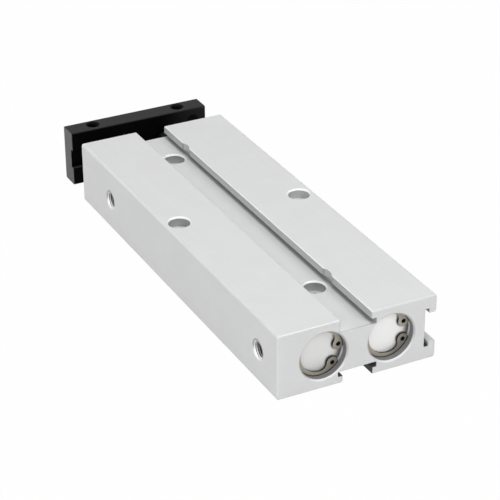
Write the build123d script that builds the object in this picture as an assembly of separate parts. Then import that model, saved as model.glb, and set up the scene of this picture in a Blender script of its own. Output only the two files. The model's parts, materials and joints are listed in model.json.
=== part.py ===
from build123d import *
import os
from math import cos, radians, sin

os.makedirs("parts", exist_ok=True)

# A twin rod pneumatic cylinder: two 20 mm cylinders side by side in one extruded body.
# X runs along the rods, towards the tool plate. Y runs across the two bores, with the air
# ports on +Y, and Z points up. The origin is the middle of the footprint, on the plane that
# the body rests on. The rods are drawn in, as at the start of the stroke.

# Working sizes of the two cylinders
stroke = 125.0
bore_diameter = 20.0
bore_pitch = 30.7
bore_height = 14.5
rod_diameter = 10.0
end_clearance = 0.5

# Clearances, all measured on the radius
rod_clearance = 0.05
ring_clearance = 0.06
piston_clearance = 0.3
seat_clearance = 0.05

# Outside of the body
body_width = 72.0
body_height = 29.0
body_corner_radius = 1.0
slot_corner_radius = 0.4
lip_corner_radius = 0.6
body_end_chamfer = 0.35

# Recess along the top, undercut on one side only
recess_open_half = 8.2
recess_lip_half = 6.0
recess_undercut_half = 8.0
recess_depth = 5.4
recess_lip_height = 3.5
head_clearance_radius = 7.0

# T slots along the bottom and along the side that has no ports
slot_mouth_half = 6.6
slot_inner_half = 8.6
slot_depth = 5.1
slot_lip = 3.35

# Mounting holes, for M5 screws
screw_hole_diameter = 5.5
counterbore_diameter = 9.5
counterbore_depth = 4.4
counterbore_chamfer = 0.65
rear_hole_inset = 36.0
front_hole_inset = 24.3
side_hole_pitch = 58.0

# Air ports, tapped for a 1/8 inch pipe thread
port_diameter = 8.6
port_depth = 8.0
port_chamfer = 0.4
passage_diameter = 4.0
rear_port_offset = 2.3
front_port_offset = 1.4

# End covers and the retaining clips that hold them in
cover_bore_diameter = 21.0
cover_bore_chamfer = 0.6
clip_depth = 3.5
clip_thickness = 1.0
clip_groove_play = 0.25
clip_groove_depth = 0.5
back_cover_length = 9.5
front_cover_length = 24.5
nose_length = 5.0
nose_diameter = 16.0
cover_edge_chamfer = 0.4
oring_section = 1.6
oring_facets = 8
oring_groove_inset = 3.4

# Shape of a retaining clip
clip_heel_width = 2.5
clip_end_width = 1.8
clip_lug_angle = 29.0
clip_lug_radius = 2.45
clip_lug_blend = 3.0
clip_hole_diameter = 2.0
clip_turns = {"left": 198.0, "right": 181.5}

# Guide bush and rod seal in each front cover
bush_length = 20.0
bush_wall = 2.0
seal_length = 5.2
seal_wall = 3.0
seal_lip_wall = 0.6
seal_retaining_height = 0.8
seal_cup_depth = 2.6
seal_cup_half = 0.6
cover_bore_gap = 0.4

# Piston, with its seal, magnet and wear ring in three grooves
piston_length = 15.0
piston_land = 1.2
piston_seal_width = 3.0
piston_seal_height = 2.4
magnet_width = 3.0
magnet_height = 2.0
wear_ring_width = 4.4
wear_ring_height = 1.3
ring_split = 0.6
groove_play = 0.1
piston_edge_chamfer = 0.4
rod_socket_depth = 6.0
bumper_thickness = 3.0
bumper_diameter = 15.0
bumper_edge = 0.5

# Screws that hold the pistons and the tool plate to the rods
thread_diameter = 6.0
thread_reach = 9.5
tapped_depth = 12.0
low_head_diameter = 10.0
low_head_height = 4.0
head_recess_clearance = 0.3
flat_head_diameter = 12.0
hex_size = 4.0
hex_depth = 2.4
screw_tip_chamfer = 0.7

# Tool plate
plate_gap = 15.0
plate_thickness = 10.0
plate_width = 69.6
plate_height = 27.0
plate_drop = 0.35
plate_edge_radius = 1.0
plate_end_chamfer = 0.2
plate_groove_height = 9.1
plate_groove_depth = 2.0
flat_length = 6.0
plate_clear_hole_diameter = 6.4
plate_top_hole_pitch = 44.0
plate_top_hole_diameter = 5.0
plate_top_hole_depth = 11.0
plate_face_hole_diameter = 4.2
plate_face_hole_depth = 8.0
plate_face_pitch_y = 56.0
plate_face_pitch_z = 14.0
tapped_chamfer = 0.75

# Lengths that follow from the stroke and the pieces inside
chamber_length = stroke + 2 * end_clearance + piston_length + 2 * bumper_thickness
cover_recess = clip_depth + clip_thickness
body_length = 2 * cover_recess + back_cover_length + chamber_length + nose_length + front_cover_length
overall_length = body_length + plate_gap + plate_thickness

# Stations along X
rear_face = -overall_length / 2
front_face = rear_face + body_length
rear_seat = rear_face + cover_recess + back_cover_length
nose_start = rear_seat + chamber_length
front_seat = nose_start + nose_length
front_cover_face = front_face - cover_recess
piston_rear = rear_seat + end_clearance + bumper_thickness
piston_front = piston_rear + piston_length
plate_rear = front_face + plate_gap
plate_front = plate_rear + plate_thickness
rod_rear = piston_front - rod_socket_depth
rod_front = plate_rear + plate_groove_depth
rear_hole_x = rear_face + rear_hole_inset
front_hole_x = front_face - front_hole_inset
side_hole_x = (rear_hole_x + front_hole_x) / 2
rear_port_x = rear_seat + rear_port_offset
front_port_x = nose_start + front_port_offset

# Radii and heights that several pieces share
bore_radius = bore_diameter / 2
rod_radius = rod_diameter / 2
cover_bore_radius = cover_bore_diameter / 2
cover_radius = cover_bore_radius - seat_clearance
clip_groove_radius = cover_bore_radius + clip_groove_depth
oring_groove_depth = oring_section + seat_clearance
oring_groove_width = oring_section + 2 * groove_play
piston_radius = bore_radius - piston_clearance
running_radius = bore_radius - ring_clearance
plate_middle_height = bore_height - plate_drop
plate_groove_floor = bore_height - rod_radius - seat_clearance
bush_radius = rod_radius + rod_clearance + bush_wall
seal_radius = rod_radius + ring_clearance + seal_wall
seal_start = front_cover_face - seal_lip_wall - seal_length
bush_start = seal_start - bush_length
recess_floor = body_height - recess_depth
thread_radius = thread_diameter / 2
overshoot = 1.0
sides = {"left": 1, "right": -1}


# The plane across one bore's axis at station x, facing towards +X or -X
def across(x, direction, side):
    centre = (x, side * bore_pitch / 2, bore_height)
    return Plane(centre, x_dir=(0, 1, 0), z_dir=(direction, 0, 0))


# A turned piece on one bore's axis, from its outline as points of (x, radius)
def turned(points, side):
    outline = make_face(Polyline(*points, close=True))
    return Pos(0, side * bore_pitch / 2, bore_height) * revolve(outline, Axis.X)


# A plain turned ring with the same small chamfer on its four edges
def turned_ring(start, end, inner, outer, side, edge=0.0):
    if edge == 0.0:
        points = [(start, inner), (end, inner), (end, outer), (start, outer)]
        return turned(points, side)
    points = [
        (start + edge, inner),
        (end - edge, inner),
        (end, inner + edge),
        (end, outer - edge),
        (end - edge, outer),
        (start + edge, outer),
        (start, outer - edge),
        (start, inner + edge),
    ]
    return turned(points, side)


# An O-ring in an outside groove of a cover, its round section drawn with flats to the walls
def cover_oring(centre_x, side):
    outline = Rot(0, 0, 180 / oring_facets) * RegularPolygon(oring_section / 2, oring_facets, False)
    section = Pos(centre_x, cover_radius - oring_section / 2) * outline
    return Pos(0, side * bore_pitch / 2, bore_height) * revolve(section, Axis.X)


# A hole drilled down from the top level, with a counterbore and a chamfered rim
def counterbored_hole(x, y, top, bottom):
    hole = Pos(x, y, bottom) * Cylinder(
        screw_hole_diameter / 2, top - bottom, align=(Align.CENTER, Align.CENTER, Align.MIN)
    )
    head = Pos(x, y, top - counterbore_depth) * Cylinder(
        counterbore_diameter / 2, counterbore_depth, align=(Align.CENTER, Align.CENTER, Align.MIN)
    )
    rim = Pos(x, y, top - counterbore_chamfer) * Cone(
        counterbore_diameter / 2,
        counterbore_diameter / 2 + counterbore_chamfer,
        counterbore_chamfer,
        align=(Align.CENTER, Align.CENTER, Align.MIN),
    )
    return hole + head + rim


# A blind tapped hole with a chamfered mouth, drilled along -Z of the given plane
def tapped_hole(mouth, diameter, depth, edge):
    drill = Cylinder(diameter / 2, depth, align=(Align.CENTER, Align.CENTER, Align.MAX))
    rim = Cone(
        diameter / 2, diameter / 2 + edge, edge, align=(Align.CENTER, Align.CENTER, Align.MAX)
    )
    return mouth * (drill + rim)


# T slot outline for one face: the mouth and the wider room behind its lips, with x across
# the slot and y into the metal
def slot_outline():
    mouth = Pos(0, slot_lip / 2) * Rectangle(2 * slot_mouth_half, slot_lip)
    room = Pos(0, (slot_lip + slot_depth) / 2) * Rectangle(2 * slot_inner_half, slot_depth - slot_lip)
    return mouth + room


# Outline of the top recess: open on the port side, under a lip on the other side
def recess_outline():
    lip_top = recess_floor + recess_depth - recess_lip_height
    room = Pos(-recess_undercut_half, recess_floor) * Rectangle(
        recess_open_half + recess_undercut_half, lip_top - recess_floor, align=(Align.MIN, Align.MIN)
    )
    mouth = Pos(-recess_lip_half, lip_top) * Rectangle(
        recess_open_half + recess_lip_half, recess_lip_height, align=(Align.MIN, Align.MIN)
    )
    return room + mouth


# Where a corner of the section lies: 2 for the block's own corners, 1 for the lips' corners
# on its outside, and 0 for those inside a slot
def corner_kind(vertex):
    at_side = abs(abs(vertex.X) - body_width / 2) < seat_clearance
    at_level = min(abs(vertex.Y), abs(vertex.Y - body_height)) < seat_clearance
    return int(at_side) + int(at_level)


# Section of the extrusion, with x for the body's Y and y for its Z
def body_outline():
    outline = Rectangle(body_width, body_height, align=(Align.CENTER, Align.MIN))
    outline -= slot_outline()
    outline -= Pos(-body_width / 2, bore_height) * Rot(0, 0, -90) * slot_outline()
    outline -= recess_outline()
    for kind, radius in enumerate((slot_corner_radius, lip_corner_radius, body_corner_radius)):
        corners = [v for v in outline.vertices() if corner_kind(v) == kind]
        outline = fillet(corners, radius)
    return outline


# All that is turned out of the body on one bore's axis, from end to end
def bore_cutter(side):
    entry = cover_bore_radius + cover_bore_chamfer
    groove_width = clip_thickness + clip_groove_play
    rear_groove = rear_face + clip_depth - clip_groove_play
    front_groove = front_face - clip_depth + clip_groove_play
    points = [
        (rear_face - overshoot, 0),
        (rear_face - overshoot, entry),
        (rear_face, entry),
        (rear_face + cover_bore_chamfer, cover_bore_radius),
        (rear_groove, cover_bore_radius),
        (rear_groove, clip_groove_radius),
        (rear_groove + groove_width, clip_groove_radius),
        (rear_groove + groove_width, cover_bore_radius),
        (rear_seat, cover_bore_radius),
        (rear_seat, bore_radius),
        (front_seat, bore_radius),
        (front_seat, cover_bore_radius),
        (front_groove - groove_width, cover_bore_radius),
        (front_groove - groove_width, clip_groove_radius),
        (front_groove, clip_groove_radius),
        (front_groove, cover_bore_radius),
        (front_face - cover_bore_chamfer, cover_bore_radius),
        (front_face, entry),
        (front_face + overshoot, entry),
        (front_face + overshoot, 0),
    ]
    return turned(points, side)


# An air port on the +Y side and its passage, which feeds both bores at once
def port_cutter(x):
    mouth = Plane((x, body_width / 2, bore_height), x_dir=(1, 0, 0), z_dir=(0, 1, 0))
    passage_end = -bore_pitch / 2
    passage_length = body_width / 2 - passage_end
    passage = Cylinder(
        passage_diameter / 2, passage_length, align=(Align.CENTER, Align.CENTER, Align.MAX)
    )
    return tapped_hole(mouth, port_diameter, port_depth, port_chamfer) + mouth * passage


# Room in the recess lip for the head of the screw in a centre hole
def head_clearance(x):
    return Pos(x, 0, recess_floor) * Cylinder(
        head_clearance_radius, recess_depth + overshoot, align=(Align.CENTER, Align.CENTER, Align.MIN)
    )


def body():
    block = extrude(Plane.YZ.offset(rear_face) * body_outline(), body_length)
    ends = block.edges().filter_by(Plane.YZ)
    straight = [e for e in ends if e.geom_type == GeomType.LINE and e.length > body_end_chamfer * 4]
    rims = [e for e in straight if is_rim(e)]
    block = chamfer(rims, body_end_chamfer)
    for x in (rear_hole_x, front_hole_x):
        block -= head_clearance(x)
        block -= counterbored_hole(x, 0, recess_floor, 0)
    for side in sides.values():
        block -= counterbored_hole(side_hole_x, side * side_hole_pitch / 2, body_height, 0)
        block -= bore_cutter(side)
    for x in (rear_port_x, front_port_x):
        block -= port_cutter(x)
    return block


# The straight rims of the two end faces, on the outside of the body
def is_rim(edge):
    centre = edge.center()
    at_level = min(abs(centre.Z), abs(centre.Z - body_height)) < seat_clearance
    at_side = abs(abs(centre.Y) - body_width / 2) < seat_clearance
    return at_level or at_side


def back_cover(side):
    outer = rear_face + cover_recess
    groove = rear_seat - oring_groove_inset
    groove_radius = cover_radius - oring_groove_depth
    points = [
        (outer, 0),
        (outer, cover_radius - cover_edge_chamfer),
        (outer + cover_edge_chamfer, cover_radius),
        (groove - oring_groove_width / 2, cover_radius),
        (groove - oring_groove_width / 2, groove_radius),
        (groove + oring_groove_width / 2, groove_radius),
        (groove + oring_groove_width / 2, cover_radius),
        (rear_seat - cover_edge_chamfer, cover_radius),
        (rear_seat, cover_radius - cover_edge_chamfer),
        (rear_seat, 0),
    ]
    return turned(points, side)


def back_cover_oring(side):
    return cover_oring(rear_seat - oring_groove_inset, side)


# The front cover guides the rod: a bush inside, a seal in a groove near the outer face
def front_cover(side):
    groove = front_seat + oring_groove_inset
    groove_radius = cover_radius - oring_groove_depth
    rod_hole = rod_radius + cover_bore_gap
    bush_pocket = bush_radius + seat_clearance
    seal_pocket = seal_radius + seat_clearance
    points = [
        (nose_start, rod_hole),
        (nose_start, nose_diameter / 2 - cover_edge_chamfer),
        (nose_start + cover_edge_chamfer, nose_diameter / 2),
        (front_seat, nose_diameter / 2),
        (front_seat, cover_radius - cover_edge_chamfer),
        (front_seat + cover_edge_chamfer, cover_radius),
        (groove - oring_groove_width / 2, cover_radius),
        (groove - oring_groove_width / 2, groove_radius),
        (groove + oring_groove_width / 2, groove_radius),
        (groove + oring_groove_width / 2, cover_radius),
        (front_cover_face - cover_edge_chamfer, cover_radius),
        (front_cover_face, cover_radius - cover_edge_chamfer),
        (front_cover_face, seal_pocket - seal_retaining_height),
        (front_cover_face - seal_lip_wall, seal_pocket - seal_retaining_height),
        (front_cover_face - seal_lip_wall, seal_pocket),
        (seal_start, seal_pocket),
        (seal_start, bush_pocket),
        (bush_start, bush_pocket),
        (bush_start, rod_hole),
    ]
    return turned(points, side)


def front_cover_oring(side):
    return cover_oring(front_seat + oring_groove_inset, side)


def guide_bush(side):
    inner = rod_radius + rod_clearance
    return turned_ring(bush_start, seal_start, inner, bush_radius, side, bumper_edge)


# A lip seal: a cup that faces the air pressure, closed towards the outside
def rod_seal(side):
    end = seal_start + seal_length
    inner = rod_radius + ring_clearance
    middle = (inner + seal_radius) / 2
    points = [
        (seal_start, inner),
        (end, inner),
        (end, seal_radius),
        (seal_start, seal_radius),
        (seal_start, middle + seal_cup_half),
        (seal_start + seal_cup_depth, middle),
        (seal_start, middle - seal_cup_half),
    ]
    return turned(points, side)


# Flat shape of a retaining clip, its gap towards +X: the band narrows from the heel, opposite
# the gap, to the two ends with their round lugs
def clip_outline():
    outer = clip_groove_radius - seat_clearance
    shift = (clip_heel_width - clip_end_width) / 2
    inner = outer - (clip_heel_width + clip_end_width) / 2
    outline = Circle(outer) - Pos(shift, 0) * Circle(inner)
    gap_half = 2 * outer * sin(radians(clip_lug_angle))
    gap_end = 2 * outer * cos(radians(clip_lug_angle))
    outline -= make_face(Polyline((0, 0), (gap_end, gap_half), (gap_end, -gap_half), close=True))
    for lug in clip_lugs():
        outline += lug * Circle(clip_lug_radius)
    return outline


# The middles of the two lugs, whose outsides touch the rim of the clip
def clip_lugs():
    reach = clip_groove_radius - seat_clearance - clip_lug_radius
    return [Rot(0, 0, turn) * Pos(reach, 0) for turn in (clip_lug_angle, -clip_lug_angle)]


# A clip with its lugs blended into the band, and a hole in each lug for the pliers
def clip(start, side, turn):
    blank = extrude(clip_outline(), clip_thickness)
    upright = blank.edges().filter_by(Axis.Z)
    lug_roots = upright.sort_by_distance((0, 0, 0))[:2]
    blank = fillet(lug_roots, clip_lug_blend)
    for lug in clip_lugs():
        blank -= lug * Cylinder(clip_hole_diameter / 2, 4 * clip_thickness)
    return across(start, 1, side).location * Rot(0, 0, turn) * blank


def rear_clip(side):
    turn = clip_turns["left"] if side > 0 else clip_turns["right"]
    return clip(rear_face + clip_depth, side, turn)


def front_clip(side):
    turn = clip_turns["left"] if side > 0 else clip_turns["right"]
    return clip(front_face - clip_depth - clip_thickness, side, -turn)


# A hardened rod, tapped at both ends. Its front end lies in the plate's groove, where a flat
# on top keeps it from turning
def rod(side):
    edge = cover_edge_chamfer
    hole = thread_radius + seat_clearance
    points = [
        (rod_rear, hole),
        (rod_rear, rod_radius - edge),
        (rod_rear + edge, rod_radius),
        (rod_front - edge, rod_radius),
        (rod_front, rod_radius - edge),
        (rod_front, hole),
        (rod_front - tapped_depth, hole),
        (rod_front - tapped_depth, 0),
        (rod_rear + tapped_depth, 0),
        (rod_rear + tapped_depth, hole),
    ]
    shaft = turned(points, side)
    flat = plate_groove_floor + plate_groove_height - seat_clearance
    return shaft - Pos(rod_front - flat_length / 2, side * bore_pitch / 2, flat) * Box(
        flat_length, rod_diameter, rod_radius, align=(Align.CENTER, Align.CENTER, Align.MIN)
    )


# Stations of the three grooves, counted forwards from the piston's rear face
def groove_spans():
    spans = []
    start = piston_rear + piston_land
    spare = piston_length - 2 * piston_land - piston_seal_width - magnet_width - wear_ring_width
    inner_land = (spare - 6 * groove_play) / 2
    for width in (piston_seal_width, magnet_width, wear_ring_width):
        spans.append((start, start + width + 2 * groove_play))
        start += width + 2 * groove_play + inner_land
    return spans


def piston(side):
    edge = piston_edge_chamfer
    web_rear = piston_rear + low_head_height + head_recess_clearance
    points = [
        (web_rear, thread_radius + seat_clearance),
        (web_rear, low_head_diameter / 2 + head_recess_clearance),
        (piston_rear, low_head_diameter / 2 + head_recess_clearance),
        (piston_rear, piston_radius - edge),
        (piston_rear + edge, piston_radius),
    ]
    heights = (piston_seal_height, magnet_height, wear_ring_height)
    for (start, end), height in zip(groove_spans(), heights):
        floor = running_radius - height - seat_clearance
        points += [(start, piston_radius), (start, floor), (end, floor), (end, piston_radius)]
    points += [
        (piston_front - edge, piston_radius),
        (piston_front, piston_radius - edge),
        (piston_front, rod_radius + seat_clearance),
        (rod_rear, rod_radius + seat_clearance),
        (rod_rear, thread_radius + seat_clearance),
    ]
    return turned(points, side)


# The seal touches the bore with two lips, one for each direction of the air pressure
def piston_seal(side):
    start, end = groove_spans()[0]
    start, end = start + groove_play, end - groove_play
    middle = (start + end) / 2
    inner = running_radius - piston_seal_height
    shoulder = piston_radius - piston_edge_chamfer
    quarter = (end - start) / 4
    points = [
        (start, inner),
        (end, inner),
        (end, shoulder),
        (end - quarter, running_radius),
        (middle, shoulder),
        (start + quarter, running_radius),
        (start, shoulder),
    ]
    return turned(points, side)


# A ring cut through at the top, so that it opens to go into its groove
def split_ring(span, height, top, side):
    start, end = span
    ring = turned_ring(start + groove_play, end - groove_play, top - height, top, side)
    cut = Box(end - start, ring_split, 2 * height, align=(Align.CENTER, Align.CENTER, Align.MAX))
    z = bore_height + top + height / 2
    return ring - Pos((start + end) / 2, side * bore_pitch / 2, z) * cut


def magnet_ring(side):
    top = piston_radius - seat_clearance
    return split_ring(groove_spans()[1], magnet_height - piston_clearance, top, side)


def wear_ring(side):
    return split_ring(groove_spans()[2], wear_ring_height, running_radius, side)


def rear_bumper(side):
    inner = low_head_diameter / 2 + head_recess_clearance
    start = piston_rear - bumper_thickness
    return turned_ring(start, piston_rear, inner, bumper_diameter / 2, side, bumper_edge)


def front_bumper(side):
    inner = rod_radius + seat_clearance
    end = piston_front + bumper_thickness
    return turned_ring(piston_front, end, inner, bumper_diameter / 2, side, bumper_edge)


# A hexagon socket, sunk along X from the given station in the given direction
def hex_socket(x, direction, side):
    corner_radius = hex_size / 2 / cos(radians(30))
    return extrude(across(x, direction, side) * RegularPolygon(corner_radius, 6), hex_depth)


# The low-head screw that holds the piston on the rod, from behind
def piston_screw(side):
    web_rear = piston_rear + low_head_height + head_recess_clearance
    head_rear = web_rear - low_head_height
    edge = piston_edge_chamfer
    tip = rod_rear + thread_reach
    points = [
        (head_rear, 0),
        (head_rear, low_head_diameter / 2 - edge),
        (head_rear + edge, low_head_diameter / 2),
        (web_rear, low_head_diameter / 2),
        (web_rear, thread_radius),
        (tip - screw_tip_chamfer, thread_radius),
        (tip, thread_radius - screw_tip_chamfer),
        (tip, 0),
    ]
    return turned(points, side) - hex_socket(head_rear, 1, side)


# A countersunk screw that holds the plate on the rod, its head flush with the plate's front
def plate_screw(side):
    head = flat_head_diameter / 2
    cone = head - thread_radius
    rim = head_recess_clearance
    tip = rod_front - thread_reach
    points = [
        (plate_front, 0),
        (plate_front, head),
        (plate_front - rim, head),
        (plate_front - rim - cone, thread_radius),
        (tip + screw_tip_chamfer, thread_radius),
        (tip, thread_radius - screw_tip_chamfer),
        (tip, 0),
    ]
    return turned(points, side) - hex_socket(plate_front, -1, side)


def plate_screws():
    return Compound(children=[plate_screw(side) for side in sides.values()])


# What is turned out of the plate for one countersunk screw
def plate_screw_cutter(side):
    head = flat_head_diameter / 2 + seat_clearance
    hole = plate_clear_hole_diameter / 2
    rim = head_recess_clearance
    points = [
        (plate_front + overshoot, 0),
        (plate_front + overshoot, head),
        (plate_front - rim, head),
        (plate_front - rim - (head - hole), hole),
        (plate_rear - overshoot, hole),
        (plate_rear - overshoot, 0),
    ]
    return turned(points, side)


# The plate is a piece of bar with rounded long edges, so only its two cut ends are sharp
def tool_plate():
    middle_x = (plate_rear + plate_front) / 2
    top = plate_middle_height + plate_height / 2
    plate = Pos(middle_x, 0, plate_middle_height) * Box(plate_thickness, plate_width, plate_height)
    plate = fillet(plate.edges().filter_by(Axis.Y), plate_edge_radius)
    ends = plate.faces().sort_by(Axis.Y)
    plate = chamfer(ends[0].edges() + ends[-1].edges(), plate_end_chamfer)
    plate -= Pos(plate_rear, 0, plate_groove_floor) * Box(
        2 * plate_groove_depth,
        plate_width + overshoot,
        plate_groove_height,
        align=(Align.CENTER, Align.CENTER, Align.MIN),
    )
    for side in sides.values():
        plate -= plate_screw_cutter(side)
        top_mouth = Plane((middle_x, side * plate_top_hole_pitch / 2, top), z_dir=(0, 0, 1))
        plate -= tapped_hole(top_mouth, plate_top_hole_diameter, plate_top_hole_depth, tapped_chamfer)
        for level in (1, -1):
            z = bore_height + level * plate_face_pitch_z / 2
            mouth = Plane((plate_front, side * plate_face_pitch_y / 2, z), z_dir=(1, 0, 0))
            plate -= tapped_hole(mouth, plate_face_hole_diameter, plate_face_hole_depth, tapped_chamfer)
    return plate


# Pieces that each cylinder has one of
paired_pieces = {
    "back_cover": back_cover,
    "back_cover_oring": back_cover_oring,
    "rear_clip": rear_clip,
    "front_cover": front_cover,
    "front_cover_oring": front_cover_oring,
    "guide_bush": guide_bush,
    "rod_seal": rod_seal,
    "front_clip": front_clip,
    "rod": rod,
    "piston": piston,
    "piston_seal": piston_seal,
    "magnet_ring": magnet_ring,
    "wear_ring": wear_ring,
    "rear_bumper": rear_bumper,
    "front_bumper": front_bumper,
    "piston_screw": piston_screw,
}

nodes = {"body": body(), "tool_plate": tool_plate(), "plate_screws": plate_screws()}
for side_name, side in sides.items():
    for piece_name, piece in paired_pieces.items():
        nodes[f"{side_name}_{piece_name}"] = piece(side)

for name, shape in nodes.items():
    export_step(shape, f"parts/{name}.step")
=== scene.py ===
import json
import math

import bpy
from mathutils import Matrix, Vector


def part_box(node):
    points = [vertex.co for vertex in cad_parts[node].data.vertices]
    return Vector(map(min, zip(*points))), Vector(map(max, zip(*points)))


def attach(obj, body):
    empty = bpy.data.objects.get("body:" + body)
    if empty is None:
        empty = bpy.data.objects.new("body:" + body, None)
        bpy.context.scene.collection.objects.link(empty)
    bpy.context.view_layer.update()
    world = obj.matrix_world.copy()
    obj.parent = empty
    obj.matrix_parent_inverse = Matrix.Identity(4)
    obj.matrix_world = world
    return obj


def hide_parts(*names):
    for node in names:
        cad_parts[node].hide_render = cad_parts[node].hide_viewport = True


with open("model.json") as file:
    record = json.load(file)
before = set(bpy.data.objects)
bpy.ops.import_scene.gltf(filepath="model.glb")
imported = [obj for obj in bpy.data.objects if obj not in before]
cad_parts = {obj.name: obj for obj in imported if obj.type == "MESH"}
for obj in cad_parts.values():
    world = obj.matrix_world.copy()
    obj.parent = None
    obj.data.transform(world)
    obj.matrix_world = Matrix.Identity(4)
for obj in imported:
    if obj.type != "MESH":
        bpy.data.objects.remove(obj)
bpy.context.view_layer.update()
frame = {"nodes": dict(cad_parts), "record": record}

bpy.ops.object.select_all(action="DESELECT")
print("frame loaded:", len(frame["nodes"]), "nodes")

bodyLow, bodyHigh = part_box("body")
plateLow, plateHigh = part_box("tool_plate")
mounts = {m["name"]: m for m in frame["record"]["mounts"]}

hairline = 0.0001             # the width, in metres, over which one finish gives way to the next
halfway = (-0.001, 0.001)     # the same where one half of the object gives way to the other


# Sums on sockets, written as plain Python
class Wire:
    def __init__(self, tree, socket):
        self.tree = tree
        self.socket = socket

    def maths(self, operation, *values):
        node = self.tree.nodes.new("ShaderNodeMath")
        node.operation = operation
        for place, value in enumerate(values):
            plug(self.tree, node.inputs[place], value)
        return Wire(self.tree, node.outputs[0])

    def __add__(self, other):
        return self.maths("ADD", self, other)

    def __radd__(self, other):
        return self.maths("ADD", other, self)

    def __sub__(self, other):
        return self.maths("SUBTRACT", self, other)

    def __rsub__(self, other):
        return self.maths("SUBTRACT", other, self)

    def __mul__(self, other):
        return self.maths("MULTIPLY", self, other)

    def __rmul__(self, other):
        return self.maths("MULTIPLY", other, self)

    def __abs__(self):
        return self.maths("ABSOLUTE", self)

    def root(self):
        return self.maths("SQRT", self)

    def sine(self):
        return self.maths("SINE", self)

    def least(self, other):
        return self.maths("MINIMUM", self, other)

    def most(self, other):
        return self.maths("MAXIMUM", self, other)

    def fade(self, start, end):    # 0 before start, 1 past end, smooth between them
        node = self.tree.nodes.new("ShaderNodeMapRange")
        node.interpolation_type = "SMOOTHSTEP"
        plug(self.tree, node.inputs["Value"], self)
        plug(self.tree, node.inputs["From Min"], start)
        plug(self.tree, node.inputs["From Max"], end)
        return Wire(self.tree, node.outputs[0])

    def past(self, edge):    # 1 past an edge
        return self.fade(edge, edge + hairline)

    def before(self, edge):    # 1 before an edge
        return 1 - self.past(edge)

    def near(self, middle, reach):    # 1 within reach of the middle, 0 outside
        return 1 - abs(self - middle).fade(reach * 0.8, reach)

    def slanted(self):    # of a normal's part: 1 on a bevel, which faces half this way
        return abs(self).near(0.707, 0.12)

    def sideways(self):    # of a normal's part: 1 on a wall, which hardly faces this way
        return 1 - abs(self).fade(0.4, 0.5)


def plug(tree, socket, value):
    if isinstance(value, Wire):
        tree.links.new(value.socket, socket)
    else:
        socket.default_value = value


# One material while it is being made
class Finish:
    def __init__(self, name, **fixed):
        self.material = bpy.data.materials.new(name)
        self.material.use_nodes = True
        self.tree = self.material.node_tree
        self.shader = self.tree.nodes["Principled BSDF"]
        self.set(**fixed)
        self.place = self.node("ShaderNodeTexCoord", output="Object")
        self.x, self.y, self.z = self.parts(self.place)
        self.nx, self.ny, self.nz = self.parts(self.node("ShaderNodeTexCoord", output="Normal"))

    def node(self, kind, settings=None, values=None, output=0):
        made = self.tree.nodes.new(kind)
        for key, value in (settings or {}).items():
            setattr(made, key, value)
        for socket, value in (values or {}).items():
            plug(self.tree, made.inputs[socket], value)
        return Wire(self.tree, made.outputs[output])

    def parts(self, vector):
        split = self.tree.nodes.new("ShaderNodeSeparateXYZ")
        plug(self.tree, split.inputs[0], vector)
        return [Wire(self.tree, socket) for socket in split.outputs]

    def noise(self, scale, detail=2.0, where=None, rough=0.5):
        values = {"Vector": where or self.place, "Scale": scale, "Detail": detail, "Roughness": rough}
        return self.node("ShaderNodeTexNoise", {}, values)

    def streaks(self, scale, detail):    # noise with a scale of its own along each axis
        where = self.node("ShaderNodeMapping", {}, {"Vector": self.place, "Scale": scale})
        return self.noise(1.0, detail, where)

    def scaled(self, colour, level):
        return self.node("ShaderNodeVectorMath", {"operation": "SCALE"}, {0: colour[:3], "Scale": level})

    def blend(self, amount, first, second):
        node = self.tree.nodes.new("ShaderNodeMix")
        node.data_type = "RGBA"
        node.clamp_factor = True
        plug(self.tree, node.inputs[0], amount)
        plug(self.tree, node.inputs[6], first)
        plug(self.tree, node.inputs[7], second)
        return Wire(self.tree, node.outputs[2])

    def bump(self, height, depth, strength):
        return self.node("ShaderNodeBump", {}, {"Height": height, "Distance": depth, "Strength": strength})

    def set(self, **values):
        for socket, value in values.items():
            plug(self.tree, self.shader.inputs[socket.replace("_", " ")], value)
        return self.material


def grey(level, warmth=0.0):
    return (level * (1 + warmth), level, level * (1 - warmth), 1.0)


# How far a point is from the nearest of some lines that run along one axis
def awayFrom(f, centres, axis):
    nearest = None
    for centre in centres:
        spread = [part - centre[place] for place, part in enumerate((f.x, f.y, f.z)) if place != axis]
        away = (spread[0] * spread[0] + spread[1] * spread[1]).root()
        nearest = away if nearest is None else nearest.least(away)
    return nearest


boreCentres = []
for side in ("left", "right"):
    low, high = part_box(side + "_rod")
    boreCentres.append((low + high) / 2)


# How far a point is from its own bore's axis along Y and Z
def fromOwnBore(f):
    isLeft = f.y.fade(*halfway)
    across = f.y - boreCentres[1][1] - isLeft * (boreCentres[0][1] - boreCentres[1][1])
    return across, f.z - boreCentres[0][2]


# The places of a bolt pattern's holes, as the record gives them
def holePlaces(name, axes):
    mount = mounts[name]
    places = [Vector(mount["pos_m"])]
    for axis, key in zip(axes, ("spacing_x_mm", "spacing_y_mm")):
        half = mount["dims"].get(key, 0.0) / 2000    # half the spacing, in metres
        if half:
            step = Vector([half if place == axis else 0.0 for place in range(3)])
            places = [place + way * step for place in places for way in (1, -1)]
    return places


centreHoles = holePlaces("centre_screw_holes", (0, 1))
sideHoles = holePlaces("side_screw_holes", (0, 1))
topHoles = holePlaces("plate_top_holes", (0, 1))
faceHoles = holePlaces("plate_face_holes", (1, 2))
portPlaces = [Vector(mounts[name]["pos_m"]) for name in ("rear_port", "front_port")]
portHeight = portPlaces[0][2]

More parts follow.
